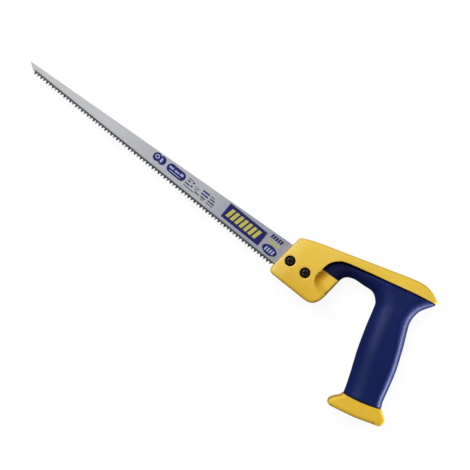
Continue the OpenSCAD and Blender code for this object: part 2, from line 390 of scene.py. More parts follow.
def grip_height(p):
    """The overmould: a bar under the spine that goes over into the round grip. Its seam and its lower end
    are cut in, and the cut fades out where there is little height left."""
    s, o = grip_coords(p)
    inner = smoothstep(*BAR_FADE, o)
    full = (1 - inner) * soft(p[:, 0], BAR_X, BAR_H) + inner * soft(s, GRIP_S, GRIP_H)
    radius = (1 - inner) * BAR_ROUND + inner * GRIP_ROUND
    front = rounding(distance(p, opening), radius)
    rear = rounding(distance(p, grip_rear), np.interp(s, REAR_S, REAR_ROUND))
    h = full * np.sqrt(np.clip(1 - front ** 2 - rear ** 2, 0, 1))
    end = rounding(distance(p, grip_end), END_ROUND)
    edge = rounding(distance(p, seam), SEAM_ROUND)
    cut = END_DROP * quarter(end ** 2) + SEAM_DROP * edge ** 2 * (3 - 2 * edge)
    return np.where(h > THIN, np.maximum(h - cut * np.clip(h / FULL_CUT, 0, 1), 0), 0)


# ---- heights of the hard handle; a SHARE below 1 stops a round edge before it is upright ----
scoop_edge = spline([(43.4, 33), (41.0, 27.5), (39.4, 21.5), (39.2, 17), (40.6, 13.2), (43.0, 10),
                     (46.2, 7.5), (50, 5.6), (54, 4.2), (60, 3.2), (66, 3)], 0.5)
scoop_loop = np.vstack([scoop_edge, [(66, 33)]])
CORE_X, CORE_H = (0, 46, 60, 80, 98, 125, 150), (15, 15, 13.6, 12.0, 11.4, 11.7, 11.7)
FULL_BELOW_Y = 26       # the block has its full thickness below this y
CROWN, CROWN_HALF, CROWN_FADE = 1.5, 28, (40, 70)
CROWN_SLOPE, CROWN_MIDDLE = 0.25, 10
NOSE_CROWN, NOSE_CROWN_RUN = 0.9, 24
SCOOP_WALL, SCOOP_POWER = 11.2, 2.5
SCOOP_LOW, SCOOP_RISE = 0.25, (5, 17)
SIDE_X, SIDE_ROUND = (0, 10, 45, 62, 80, 150), (2.4, 2.8, 3.2, 3.6, 3.9, 4.4)
BOTTOM_ROUND = 3.4
REAR_EDGE_ROUND, REAR_EDGE_DROP = 3.0, 1.6
NOSE_ROUND, NOSE_SHARE = 0.8, 0.6
LOWER_Y, LOWER_DROP = 30, 3.0       # the round edges below this y all fall by the same depth
CORE_SEAM_ROUND, CORE_SEAM_DROP = 0.9, 0.8
GROOVE_ROUND, GROOVE_DROP = 1.2, 2.4
SEAT_R = 5.3
SEAT_ROUND, SEAT_DROP = 0.5, 0.45


def core_height(p):
    """The yellow block and spine: crowned faces, the thumb scoop, round edges and the grooves in them."""
    x, y = p[:, 0], p[:, 1]
    full = np.interp(x, CORE_X, CORE_H)
    full = np.where(y < FULL_BELOW_Y, HALF_T, full)
    across = np.clip((y - CROWN_SLOPE * x - CROWN_MIDDLE) / CROWN_HALF, -1, 1)
    full = full - CROWN * across ** 2 * (1 - smoothstep(*CROWN_FADE, x))
    full = full - NOSE_CROWN * np.clip(1 - x / NOSE_CROWN_RUN, 0, 1) ** 2
    depth = distance(p, scoop_edge) * np.where(inside(p, scoop_loop), 1, -1)
    run = np.clip(depth / SCOOP_WALL, 0, 1)
    dip = (1 - (1 - run) ** SCOOP_POWER) * (SCOOP_LOW + (1 - SCOOP_LOW) * smoothstep(*SCOOP_RISE, y))
    full = full + dip * (WEB_H - full)
    side = np.interp(x, SIDE_X, SIDE_ROUND)
    rear = rounding(distance(p, block_rear), REAR_EDGE_ROUND)
    rounds = [rounding(distance(p, back), side), rounding(distance(p, block_bottom), BOTTOM_ROUND), rear,
              rounding(distance(p, block_nose), NOSE_ROUND) * NOSE_SHARE]
    total = np.clip(sum(r ** 2 for r in rounds), 0, 1)
    drop = np.where(y < LOWER_Y, LOWER_DROP, side)
    h = full - drop * quarter(total) - REAR_EDGE_DROP * quarter(rear ** 2)
    h = h - CORE_SEAM_DROP * quarter(rounding(distance(p, seam), CORE_SEAM_ROUND) ** 2)
    h = h - GROOVE_DROP * quarter(rounding(distance(p, notch_edge), GROOVE_ROUND) ** 2)
    for sx in SCREW_X:
        rim = rounding(np.linalg.norm(p - (sx, SCREW_Y), axis=1) - SEAT_R, SEAT_ROUND)
        h = h - SEAT_DROP * quarter(rim ** 2)
    return h


BUTT_FRONT_ROUND, BUTT_FRONT_SHARE = 2.4, 0.8
BUTT_BOTTOM_ROUND, BUTT_BOTTOM_SHARE = 3.8, 0.96
BUTT_REAR_ROUND, BUTT_REAR_SHARE = 5.5, 0.84
BUTT_DROP, BUTT_REAR_DROP = 3.4, 2.4
BUTT_CROWN, BUTT_CROWN_RUN = 0.7, 18
TOE_CROWN, TOE_X, TOE_RUN = 0.8, 152, 27


def butt_height(p):
    """The end cap: nearly flat faces that fall a little to the lower edge and to the toe."""
    rounds = [rounding(distance(p, butt_front), BUTT_FRONT_ROUND) * BUTT_FRONT_SHARE,
              rounding(distance(p, butt_bottom), BUTT_BOTTOM_ROUND) * BUTT_BOTTOM_SHARE]
    total = np.clip(sum(r ** 2 for r in rounds), 0, 1)
    crown = BUTT_CROWN * np.clip(distance(p, butt_top) / BUTT_CROWN_RUN, 0, 1) ** 2
    crown = crown + TOE_CROWN * np.clip((TOE_X - p[:, 0]) / TOE_RUN, 0, 1) ** 2
    rear = rounding(distance(p, butt_rear), BUTT_REAR_ROUND) * BUTT_REAR_SHARE
    return HALF_T - crown - BUTT_DROP * quarter(total) - BUTT_REAR_DROP * quarter(rear ** 2)


# ---- nodes ----
def material(name, colour, roughness, metallic=0.0, **sockets):
    """A material of one colour; other sockets of the shader are given by name."""
    m = bpy.data.materials.new(name)
    m.use_nodes = True
    shader = m.node_tree.nodes["Principled BSDF"]
    shader.inputs["Base Color"].default_value = (*colour, 1)
    shader.inputs["Roughness"].default_value = roughness
    shader.inputs["Metallic"].default_value = metallic
    for socket, value in sockets.items():
        shader.inputs[socket.replace("_", " ")].default_value = value
    return m


def object_space(m, stretch):
    """The object's own space, in metres; stretch scales each axis."""
    t = m.node_tree
    coords = t.nodes.new("ShaderNodeTexCoord")
    mapping = t.nodes.new("ShaderNodeMapping")
    mapping.inputs["Scale"].default_value = stretch
    t.links.new(coords.outputs["Object"], mapping.inputs["Vector"])
    return mapping.outputs["Vector"]


def noise(m, scale, detail, stretch=(1, 1, 1), rough=0.55):
    """A noise over the object's own space."""
    n = m.node_tree.nodes.new("ShaderNodeTexNoise")
    n.inputs["Scale"].default_value = scale
    n.inputs["Detail"].default_value = detail
    n.inputs["Roughness"].default_value = rough
    m.node_tree.links.new(object_space(m, stretch), n.inputs["Vector"])
    return n.outputs["Fac"]


def places(m, stretch=(1, 1, 1)):
    """The object's own X, Y and Z, in metres."""
    split = m.node_tree.nodes.new("ShaderNodeSeparateXYZ")
    m.node_tree.links.new(object_space(m, stretch), split.inputs["Vector"])
    return split


def ramp(m, value, stops):
    """Colours at places along the value."""
    r = m.node_tree.nodes.new("ShaderNodeValToRGB")
    e = r.color_ramp.elements
    while len(e) < len(stops):
        e.new(0.5)
    for element, (place, colour) in zip(e, stops):
        element.position = place
        element.color = (*colour, 1)
    m.node_tree.links.new(value, r.inputs["Fac"])
    return r.outputs["Color"]


def scaled(colour, k):
    return tuple(min(1.0, c * k) for c in colour)


def mottled(m, value, colour, dark, light, stops=(0.3, 0.7)):
    """The colour made darker where the value is low and lighter where it is high."""
    return ramp(m, value, [(stops[0], scaled(colour, dark)), (stops[1], scaled(colour, light))])


def greys(m, value, low, high, stops=(0.3, 0.75)):
    """A number from low to high that follows the value, as a grey."""
    return ramp(m, value, [(stops[0], (low,) * 3), (stops[1], (high,) * 3)])


def span(m, value, start, end):
    """The value stretched so that start gives 0 and end gives 1."""
    r = m.node_tree.nodes.new("ShaderNodeMapRange")
    r.inputs["From Min"].default_value = start
    r.inputs["From Max"].default_value = end
    m.node_tree.links.new(value, r.inputs["Value"])
    return r.outputs["Result"]


def combined(m, kind, a, b):
    """Two numbers put together by a Math node of the kind."""
    node = m.node_tree.nodes.new("ShaderNodeMath")
    node.operation = kind
    m.node_tree.links.new(a, node.inputs[0])
    m.node_tree.links.new(b, node.inputs[1])
    return node.outputs["Value"]


def blend(m, factor, a, b, kind="MIX"):
    """Colour b over colour a; the factor is a number or a node's output."""
    mix = m.node_tree.nodes.new("ShaderNodeMix")
    mix.data_type = "RGBA"
    mix.blend_type = kind
    if isinstance(factor, float):
        mix.inputs["Factor"].default_value = factor
    else:
        m.node_tree.links.new(factor, mix.inputs["Factor"])
    for socket, colour in (("A", a), ("B", b)):
        m.node_tree.links.new(colour, next(i for i in mix.inputs if i.name == socket and i.type == "RGBA"))
    return next(o for o in mix.outputs if o.type == "RGBA")


def bump(m, value, strength, depth, under=None):
    """A bump of the depth, in metres, on top of the one under it."""
    b = m.node_tree.nodes.new("ShaderNodeBump")
    b.inputs["Strength"].default_value = strength
    b.inputs["Distance"].default_value = depth
    m.node_tree.links.new(value, b.inputs["Height"])
    if under is not None:
        m.node_tree.links.new(under, b.inputs["Normal"])
    return b.outputs["Normal"]


def wire(m, value, socket):
    m.node_tree.links.new(value, m.node_tree.nodes["Principled BSDF"].inputs[socket])


# ---- materials; pairs named _X, _Y or _BAND are design places where a change starts and ends ----
YELLOW = (0.72, 0.475, 0.058)
# Painted light and shade: the yellow's tone by height, mostly lighter higher up and darker lower down, as
# light falls on it.
PAINTED_SHADE_BY_HEIGHT = ((-46, (0.755, 0.470, 0.033)), (-8, (0.690, 0.415, 0.030)), (12, (0.725, 0.470, 0.046)),
             (38, (0.77, 0.507, 0.053)), (62, (0.79, 0.525, 0.056)), (76, (0.745, 0.485, 0.042)))
# Painted highlight: a paler yellow towards the blade end of the block, where the light falls on it.
PAINTED_HIGHLIGHT_YELLOW = (0.82, 0.58, 0.105)
PAINTED_HIGHLIGHT_X = (17, 3)
# Painted shade: a deep orange-brown in the upper corner of the thumb scoop, where shade falls; the SCOOP_
# places below set where it lies.
PAINTED_SCOOP_SHADE = (0.76, 0.31, 0.014)
SCOOP_CORNER = (40.5, 20.5)
SCOOP_REACH = (2.5, 10.5)
SCOOP_SQUASH = 0.45
SCOOP_TOP = (12.4, 14.2)
NAVY = (0.0048, 0.0105, 0.078)
# Painted shadow: a darker blue on the bar under the yellow arch, where the arch's shadow falls.
PAINTED_SHADOW_NAVY = (0.0030, 0.0045, 0.034)
PAINTED_SHADOW_X = (96, 62)
# Painted reflection and shade: the plate's tone along its length, lighter towards the nose and darker
# towards the handle.
PAINTED_PLATE_LIGHT = [(0.0, (0.315, 0.314, 0.323)), (0.19, (0.333, 0.334, 0.346)), (0.30, (0.348, 0.354, 0.368)),
                (0.54, (0.312, 0.322, 0.350)), (0.70, (0.350, 0.358, 0.378)), (0.78, (0.288, 0.302, 0.345)),
                (0.86, (0.272, 0.288, 0.345)), (0.94, (0.296, 0.308, 0.345)), (0.99, (0.262, 0.268, 0.310))]
HARD_EDGE_Y = (0.95, 1.85)
HARD_EDGE = [(0.3, (0.025, 0.026, 0.030)), (0.75, (0.055, 0.057, 0.063))]
NOSE_BAND = (297.4, 299.6)


def painted_scoop_shade_mask(m):
    """Mask of the painted shade in the scoop: 1 in its upper corner, 0 away from it and on the outer faces.
    """
    t = m.node_tree
    split = places(m, (1, SCOOP_SQUASH, 1))
    flat = t.nodes.new("ShaderNodeCombineXYZ")
    t.links.new(split.outputs["X"], flat.inputs["X"])
    t.links.new(split.outputs["Y"], flat.inputs["Y"])
    away = t.nodes.new("ShaderNodeVectorMath")
    away.operation = "DISTANCE"
    t.links.new(flat.outputs["Vector"], away.inputs[0])
    corner_at = to_frame([(*SCOOP_CORNER, 0)])[0]
    away.inputs[1].default_value = (corner_at[0], corner_at[1] * SCOOP_SQUASH, 0)
    near = span(m, away.outputs["Value"], SCOOP_REACH[1] * MM, SCOOP_REACH[0] * MM)
    upper = span(m, split.outputs["Z"], HEEL.z + SCOOP_TOP[1] * MM, HEEL.z + SCOOP_TOP[0] * MM)
    lower = span(m, split.outputs["Z"], HEEL.z - SCOOP_TOP[1] * MM, HEEL.z - SCOOP_TOP[0] * MM)
    return combined(m, "MULTIPLY", combined(m, "MULTIPLY", upper, lower), near)


def plastic_material():
    """Gloss yellow with painted light and shade: mostly lighter higher up and darker lower down, a painted
    highlight paler at the blade and painted shade in the scoop.
    """
    m = material("yellow_plastic", YELLOW, 0.42, Specular_IOR_Level=0.25)
    cloud = noise(m, scale=38, detail=3)
    # Painted light and shade by height, then a painted highlight near the blade.
    low, high = PAINTED_SHADE_BY_HEIGHT[0][0], PAINTED_SHADE_BY_HEIGHT[-1][0]
    height = span(m, places(m).outputs["Y"], HEEL.y + low * MM, HEEL.y + high * MM)
    shade = ramp(m, height, [((y - low) / (high - low), colour) for y, colour in PAINTED_SHADE_BY_HEIGHT])
    painted_highlight_near_blade = span(m, places(m).outputs["X"], HEEL.x + PAINTED_HIGHLIGHT_X[0] * MM, HEEL.x + PAINTED_HIGHLIGHT_X[1] * MM)
    shade = blend(m, painted_highlight_near_blade, shade, mottled(m, cloud, PAINTED_HIGHLIGHT_YELLOW, 0.97, 1.0))
    open_face = blend(m, 1.0, shade, greys(m, cloud, 0.95, 1.0, (0.3, 0.7)), "MULTIPLY")
    # Painted shade in the scoop's upper corner.
    recess = mottled(m, cloud, PAINTED_SCOOP_SHADE, 0.97, 1.02)
    wire(m, blend(m, painted_scoop_shade_mask(m), open_face, recess), "Base Color")
    wire(m, greys(m, noise(m, scale=260, detail=5), 0.36, 0.50), "Roughness")
    grain = bump(m, noise(m, scale=2600, detail=2), strength=0.10, depth=0.00008)
    wire(m, bump(m, noise(m, scale=130, detail=2), strength=0.05, depth=0.0004, under=grain), "Normal")
    return m


def rubber_material():
    """Satin dark blue, with painted shadow on the bar under the arch, where it is also duller."""
    m = material("blue_rubber", NAVY, 0.43, Specular_IOR_Level=0.18, Specular_Tint=(0.55, 0.7, 1.0, 1.0))
    cloud = noise(m, scale=30, detail=3)
    grip_tone = mottled(m, cloud, NAVY, 0.9, 1.12)
    # Painted shadow on the bar under the arch.
    painted_shadow_tone = mottled(m, cloud, PAINTED_SHADOW_NAVY, 0.9, 1.12)
    shadow_under_arch = span(m, places(m).outputs["X"], HEEL.x + PAINTED_SHADOW_X[0] * MM, HEEL.x + PAINTED_SHADOW_X[1] * MM)
    wire(m, blend(m, shadow_under_arch, grip_tone, painted_shadow_tone), "Base Color")
    mottle = noise(m, scale=190, detail=5)
    wire(m, blend(m, shadow_under_arch, greys(m, mottle, 0.37, 0.51), greys(m, mottle, 0.62, 0.72)), "Roughness")
    grain = bump(m, noise(m, scale=3200, detail=2), strength=0.14, depth=0.00008)
    wire(m, bump(m, noise(m, scale=90, detail=2), strength=0.04, depth=0.0005, under=grain), "Normal")
    return m


def plate_material():
    """Satin rolled steel with painted reflection and shade along the plate, lighter towards the nose and
    darker towards the handle, and the darkened edge of the hardened teeth, which ends before the nose.
    """
    m = material("rolled_steel", (0.60, 0.61, 0.63), 0.50, 0.75)
    split = places(m)
    level = span(m, split.outputs["Y"], HEEL.y + HARD_EDGE_Y[0] * MM, HEEL.y + HARD_EDGE_Y[1] * MM)
    lines = noise(m, scale=90, detail=5, stretch=(0.6, 22, 22), rough=0.7)
    # Painted reflection and shade along the plate, under its rolled lines.
    along = span(m, split.outputs["X"], HEEL.x - (BLADE_LEN + NOSE_RUN) * MM, HEEL.x)
    shade = ramp(m, along, PAINTED_PLATE_LIGHT)
    plate_tone = blend(m, 1.0, shade, greys(m, lines, 0.88, 1.0, (0.25, 0.75)), "MULTIPLY")
    dark = ramp(m, noise(m, scale=400, detail=3), HARD_EDGE)
    nose = span(m, split.outputs["X"], HEEL.x - NOSE_BAND[0] * MM, HEEL.x - NOSE_BAND[1] * MM)
    wire(m, blend(m, combined(m, "MAXIMUM", level, nose), dark, plate_tone), "Base Color")
    wire(m, greys(m, lines, 0.46, 0.56, (0.25, 0.75)), "Roughness")
    rolled = noise(m, scale=240, detail=4, stretch=(0.5, 26, 26), rough=0.7)
    wire(m, bump(m, rolled, strength=0.12, depth=0.00005), "Normal")
    return m


def metal_material(name, colour, roughness, metallic, **sockets):
    """A fine-grained metal finish."""
    m = material(name, colour, roughness, metallic, **sockets)
    tone = noise(m, scale=700, detail=4)
    wire(m, mottled(m, tone, colour, 0.8, 1.25, (0.3, 0.75)), "Base Color")
    wire(m, greys(m, noise(m, scale=500, detail=4), roughness - 0.07, roughness + 0.08), "Roughness")
    wire(m, bump(m, noise(m, scale=2400, detail=3), strength=0.15, depth=0.00005), "Normal")
    return m


def ink_material(name, colour):
    """Dull printing ink, a little uneven."""
    m = material(name, colour, 0.55, Specular_IOR_Level=0.15)
    wire(m, mottled(m, noise(m, scale=900, detail=4), colour, 0.88, 1.1), "Base Color")
    wire(m, bump(m, noise(m, scale=2600, detail=2), strength=0.08, depth=0.00003), "Normal")
    return m


YELLOW_PLASTIC = plastic_material()
BLUE_RUBBER = rubber_material()
PLATE_STEEL = plate_material()
# Painted light: a brighter steel on the bevels of every second tooth, for the light they catch.
BEVEL_PAINTED_LIGHT = metal_material("bevel_painted_light", (0.50, 0.51, 0.53), 0.45, 0.1)
BLACK = metal_material("black_steel", (0.024, 0.022, 0.021), 0.42, 0.45)
# Black of the washers and nuts, made darker and warm-tinted as painted shade; it is also painted as shade
# into the screws' crosses and on the rims of their heads.
BLACK_AND_PAINTED_SHADE = metal_material("black_oxide_and_painted_shade", (0.007, 0.0045, 0.002), 0.8, 0.0, Specular_IOR_Level=0.06)
NAVY_INK = ink_material("navy_ink", (0.009, 0.009, 0.105))
GOLD_INK = ink_material("gold_ink", (0.46, 0.42, 0.075))
FADED_INK = ink_material("faded_ink", (0.36, 0.345, 0.13))
GREY_INK = ink_material("grey_ink", (0.03, 0.034, 0.085))
PALE_INK = ink_material("pale_ink", (0.33, 0.37, 0.60))


# ---- blade ----
GULLET_Y = 0.1
TOOTH_TIP = -2.75
FULLNESS = 0.05
TIP_HALF = 0.12
BEVEL_ROOT, BEVEL_DROP = 0.55, 0.35
BEVEL_HALF, BEVEL_RISE = 0.1, 1.8
FIRST_TOOTH, PAIR_PITCH, PAIR_GAIN = -6.5, 7.64, 0.00523
EVEN_SHIFT, EVEN_SHIFT_GAIN = 0.2, 0.6      # every second tooth leans to the nose, more so near it
STEPS_A_TOOTH = 5
FLAT_FACES = 2
CRISP = 12              # shading stays sharp at turns of more than this, in degrees


def blade_back(x):
    """Height of the blade's back edge, which runs straight from the nose to the heel."""
    return NOSE_DEPTH + (x + BLADE_LEN + NOSE_RUN) * (HEEL_DEPTH - NOSE_DEPTH) / (BLADE_LEN + NOSE_RUN)


def tooth_place(i):
    """Where tooth i's point is along the edge: the teeth get slightly finer towards the nose."""
    pair = (i - 1) / 2
    return FIRST_TOOTH - PAIR_PITCH * pair + PAIR_GAIN * pair ** 2


def tooth_edge():
    """The toothed edge from the heel to the nose, as its outline on the upper and on the lower face, and
    the tooth that each step along it belongs to. Each tooth is full on one face and cut back on the other,
    turn about."""
    start = ((tooth_place(-1) + tooth_place(0)) / 2, GULLET_Y)
    faces, owner = [[(0.0, GULLET_Y), start], [(0.0, GULLET_Y), start]], [1]
    middle = (GULLET_Y + TOOTH_TIP) / 2
    for i in range(TEETH):
        right = (tooth_place(i - 1) + tooth_place(i)) / 2
        left = (tooth_place(i) + tooth_place(i + 1)) / 2
        tip = tooth_place(i) - (EVEN_SHIFT + EVEN_SHIFT_GAIN * i / TEETH if i % 2 == 0 else 0.0)
        full = [((right + tip) / 2 + FULLNESS, middle), (tip + TIP_HALF, TOOTH_TIP),
                (tip - TIP_HALF, TOOTH_TIP), ((left + tip) / 2 - FULLNESS, middle)]
        cut = [(tip + (right - tip) * BEVEL_ROOT, GULLET_Y - BEVEL_DROP),
               (tip + BEVEL_HALF, TOOTH_TIP + BEVEL_RISE), (tip - BEVEL_HALF, TOOTH_TIP + BEVEL_RISE),
               (tip + (left - tip) * BEVEL_ROOT, GULLET_Y - BEVEL_DROP)]
        for face in (0, 1):
            faces[face] += (cut if i % 2 == face else full) + [(left, GULLET_Y)]
        owner += [i] * STEPS_A_TOOTH
    return faces, owner


def make_blade():
    """The whole plate with its tang. The bevel of every second tooth gets a brighter steel, painted light
    that stands in for the light its bevel catches.
    """
    (upper, lower), owner = tooth_edge()
    nose = [(-BLADE_LEN + 0.5, -0.7), (-BLADE_LEN - NOSE_RUN, NOSE_DEPTH - 0.3),
            (-BLADE_LEN - NOSE_RUN + 0.1, NOSE_DEPTH)]
    tang = [(0.0, blade_back(0)), (36.0, blade_back(0) + 1.2), (40.0, 24.0), (44.0, 8.0), (40.0, 4.0)]
    rest = nose + tang
    verts = [(*p, BLADE_T / 2) for p in upper + rest] + [(*p, -BLADE_T / 2) for p in lower + rest]
    n = len(upper) + len(rest)
    top = list(range(n))
    faces = [top[::-1], [i + n for i in top]]
    faces += [[i, (i + 1) % n, (i + 1) % n + n, i + n] for i in range(n)]
    obj = new_object("saw_blade", verts, faces, PLATE_STEEL, smooth=CRISP)
    # Painted light on the bevels of every second tooth.
    obj.data.materials.append(BEVEL_PAINTED_LIGHT)
    for poly, tooth in zip(list(obj.data.polygons)[FLAT_FACES:], owner):
        if tooth % 2 == 0:
            poly.material_index = 1
    return obj


# ---- printed panels, as plain shapes with no wording ----
INK_ROOT = 0.05
INK_STEP = 0.03
LINE_WIDTH = 1.3        # every line's width is multiplied by this


def prism(outline, z0, z1):
    """A closed prism over the outline."""
    n = len(outline)
    verts = [(*p, z1) for p in outline] + [(*p, z0) for p in outline]
    faces = [list(range(n)), list(range(2 * n - 1, n - 1, -1))]
    faces += [[i, i + n, (i + 1) % n + n, (i + 1) % n] for i in range(n)]
    return verts, faces


def ring_band(centre, outer, inner, squash, z0, z1, count=48):
    """A closed ring; squash flattens it across the blade."""
    a = np.linspace(0, 2 * math.pi, count + 1)[:-1]
    verts, faces = [], []
    for r, z in ((outer, z1), (inner, z1), (inner, z0), (outer, z0)):
        verts += [(centre[0] + r * math.cos(t), centre[1] + r * math.sin(t) * squash, z) for t in a]
    for k in range(4):
        for i in range(count):
            j = (i + 1) % count
            kk = (k + 1) % 4
            faces.append([k * count + i, k * count + j, kk * count + j, kk * count + i])
    return verts, faces


def plate(outline):
    """A shape for printed(): a prism over the outline."""
    return lambda z0, z1: prism(outline, z0, z1)


def ring(centre, outer, inner, squash):
    """A shape for printed(): a squashed ring."""
    return lambda z0, z1: ring_band(centre, outer, inner, squash, z0, z1)


def panel(x0, x1, y0, y1, lean=0.0):
    """A rectangle; lean moves its upper side towards the handle."""
    return plate([(x0, y0), (x1, y0), (x1 + lean, y1), (x0 + lean, y1)])


def panels(start, stop, pitch, width, y0, y1, lean):
    """A row of equal panels."""
    return [panel(x, x + width, y0, y1, lean) for x in np.arange(start, stop, pitch)]


def pill(x0, x1, y0, y1):
    """A bar with round ends."""
    r = (y1 - y0) / 2
    left = arc((x0 + r, y0 + r), r, 90, 270, 0.4)
    right = arc((x1 - r, y0 + r), r, -90, 90, 0.4)
    return plate([tuple(p) for p in np.vstack([left, right])])


def oval(centre, rx, ry, count=40):
    return plate([(centre[0] + rx * math.cos(t), centre[1] + ry * math.sin(t))
                  for t in np.linspace(0, 2 * math.pi, count + 1)[:-1]])


def twin(x0, x1, y, r):
    """Two overlapping discs of radius r as one outline."""
    cut = math.degrees(math.acos((x1 - x0) / 2 / r))
    left = arc((x0, y), r, cut, 360 - cut, 0.5)
    right = arc((x1, y), r, cut - 180, 180 - cut, 0.5)
    return plate([tuple(p) for p in join(left, right)[:-1]])


def stroke(points, width):
    """A line of constant width through the points, as one outline."""
    p = np.asarray(points, float)
    d = np.gradient(p, axis=0)
    nrm = np.column_stack([-d[:, 1], d[:, 0]])
    nrm /= np.linalg.norm(nrm, axis=1)[:, None]
    return plate([tuple(q) for q in np.vstack([p - nrm * width / 2, (p + nrm * width / 2)[::-1]])])


def printed(name, ink, shapes, layer=0):
    """One printed colour: shapes that start inside the plate and stand a little proud of it. Those of
    layer 1 stand one step higher than those of layer 0, so they show on top of them."""
    verts, faces = [], []
    for shape in shapes:
        v, f = shape(BLADE_T / 2 - INK_ROOT, BLADE_T / 2 + INK_STEP + layer * INK_STEP)
        faces += [[i + len(verts) for i in face] for face in f]
        verts += v
    obj = new_object(name, verts, faces, ink, smooth=CRISP)
    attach(obj, "root")


def make_printing():
    """Plain generic panels, stripes, dots and lines where the plate carries its printing."""
    printed("print_navy", NAVY_INK,
            [pill(-140.1, -118.3, 5.8, 14.7), twin(-153.1, -147.0, 10.4, 4.35),
             panel(-68.9, -22.6, 4.4, 20.3), oval((-11, 8.2), 8.3, 4.75),
             panel(-97.6, -89.2, 12.3, 13.9), panel(-97.6, -89.2, 9.2, 10.7),
             oval((-108.9, 12.7), 1.1, 1.0, 16), oval((-108.9, 8.9), 1.1, 1.0, 16)]
            + panels(-18.6, -5, 2.8, 2.0, 19.0, 23.3, 0.9))
    printed("print_gold", GOLD_INK, panels(-65.8, -31, 5.45, 3.6, 7.6, 17.2, 2.2), 1)
    printed("print_gold_band", FADED_INK, panels(-18.8, -6, 3.5, 2.9, 14.4, 17.3, 0.6))
    printed("print_pale", PALE_INK,
            [panel(-138.0, -132.8, 10.0, 11.9), panel(-131.4, -125.8, 10.0, 11.5),
             panel(-124.8, -121.2, 10.0, 12.3), panel(-136.2, -122.6, 7.5, 8.2),
             ring((-153.1, 10.9), 2.4, 1.4, 0.9), oval((-147.6, 10.2), 1.1, 2.5),
             panel(-97.2, -90.0, 11.0, 12.0)] + panels(-16.2, -6, 2.8, 1.5, 5.7, 10.1, 0.8), 1)
    lines = [((-116.0, 13.9), (-110.6, 13.7), 0.6), ((-115.6, 11.6), (-112.4, 11.5), 1.1),
             ((-116.6, 8.4), (-110.8, 8.2), 1.0), ((-116.8, 5.7), (-104.4, 5.4), 0.6),
             ((-106.0, 11.2), (-100.4, 11.0), 0.6), ((-105.4, 8.8), (-101.6, 8.7), 0.6),
             ((-103.6, 6.6), (-98.0, 6.5), 0.9), ((-96.4, 7.0), (-90.6, 6.9), 1.0),
             ((-95.2, 5.0), (-91.6, 4.9), 0.6), ((-87.8, 13.4), (-83.6, 13.2), 0.7),
             ((-87.4, 10.8), (-81.6, 10.6), 1.0), ((-88.2, 8.0), (-80.4, 7.9), 1.1),
             ((-88.0, 5.4), (-80.2, 5.3), 0.6)]
    printed("print_lines", GREY_INK, [stroke(run, width * LINE_WIDTH) for *run, width in lines])


# ---- handle; each list of rows pairs an edge with the radius that the mesh rows along it follow ----
BARREL_R = 3.1
SEAT_Z = 11.8
NUT_SEAT_Z = -12.8
CORE_ROWS = [(block_bottom, BOTTOM_ROUND), (block_rear, REAR_EDGE_ROUND), (seam[::-1], CORE_SEAM_ROUND),
             (notch_edge[::-1], GROOVE_ROUND), (back[::-1], 2.8), (front_corner[::-1], 1.8),
             (block_nose, NOSE_ROUND)]
GRIP_ROWS = [(opening, GRIP_ROUND), (grip_end, 2.0), (grip_rear, REAR_ROUND[0]), (seam, SEAM_ROUND),
             (notch_edge, 0.7)]
BUTT_ROWS = [(butt_front, BUTT_FRONT_ROUND), (butt_bottom, BUTT_BOTTOM_ROUND), (butt_rear, BUTT_REAR_ROUND)]


def make_core():
    """The yellow block and spine, with a stepped bore through it at each screw."""
    loop = join(block_bottom, block_rear, notch_edge[::-1], seam[::-1], back[::-1], front_corner[::-1],
                block_nose)[:-1]
    holes = [((sx, SCREW_Y), SEAT_R) for sx in SCREW_X]
    verts, faces, top, low, rim = slab(core_height, loop, CORE_ROWS, holes)
    for run in rim_loops(rim):
        centre = min(holes, key=lambda h: abs(np.mean([verts[top[i]][0] for i in run]) - h[0][0]))[0]
        rings = [[top[i] for i in run]]
        for z, r in ((SEAT_Z, SEAT_R), (SEAT_Z, BARREL_R), (NUT_SEAT_Z, BARREL_R), (NUT_SEAT_Z, SEAT_R)):
            step = []
            for i in run:
                d = np.array(verts[top[i]][:2]) - centre
                step.append(len(verts))
                verts.append((*(np.array(centre) + d / np.linalg.norm(d) * r), z))
            rings.append(step)
        rings.append([low[i] for i in run])
        for a, b in zip(rings, rings[1:]):
            n = len(a)
            faces += [[a[k], a[(k + 1) % n], b[(k + 1) % n], b[k]] for k in range(n)]
    return new_object("handle_shell", verts, faces, YELLOW_PLASTIC)


def make_grip():
    loop = join(opening, grip_end, grip_rear, seam, notch_edge)[:-1]
    verts, faces, *_ = slab(grip_height, loop, GRIP_ROWS, grid=1.5)
    return new_object("grip_sleeve", verts, faces, BLUE_RUBBER, smooth=50)


def make_butt():
    loop = join(butt_top, butt_front, butt_bottom, butt_rear)[:-1]
    verts, faces, *_ = slab(butt_height, loop, BUTT_ROWS, grid=1.2)
    return new_object("end_cap", verts, faces, YELLOW_PLASTIC)


# ---- fasteners; every Z is from the middle of the thickness ----
TURNS = 96
RECESS_TURN = math.radians(28)
HEAD_TOP_Z = 14.8
RECESS_Z = 13.6         # only points above this sink into the cross
HEAD_SIDE_Z = 12.7
HEAD_SEAT_Z = 12.6
HEAD_R, HEAD_FOOT_R = 3.7, 3.6
HEAD_FACE_R = 3.2
DOME_R, DOME_DROP, DOME_RINGS = 3.1, 0.2, 31
EDGE_R, EDGE_Z, EDGE_TURNS = 0.6, 14.02, (25, 45, 65, 85)
SHANK_R, SHANK_Z = 2, -10.4
POINT_R, POINT_Z = 1.4, -11
CROSS_DEPTH = 1.5
CROSS_HALF, CROSS_SIDE = 0.78, 0.16
CROSS_REACH, CROSS_END = 2.5, 0.6
DULL_DEPTH = 0.3
WASHER = [(2.15, 12.6), (4.9, 12.6), (5.2, 12.45), (5.2, 11.95), (5.05, 11.8), (2.15, 11.8)]
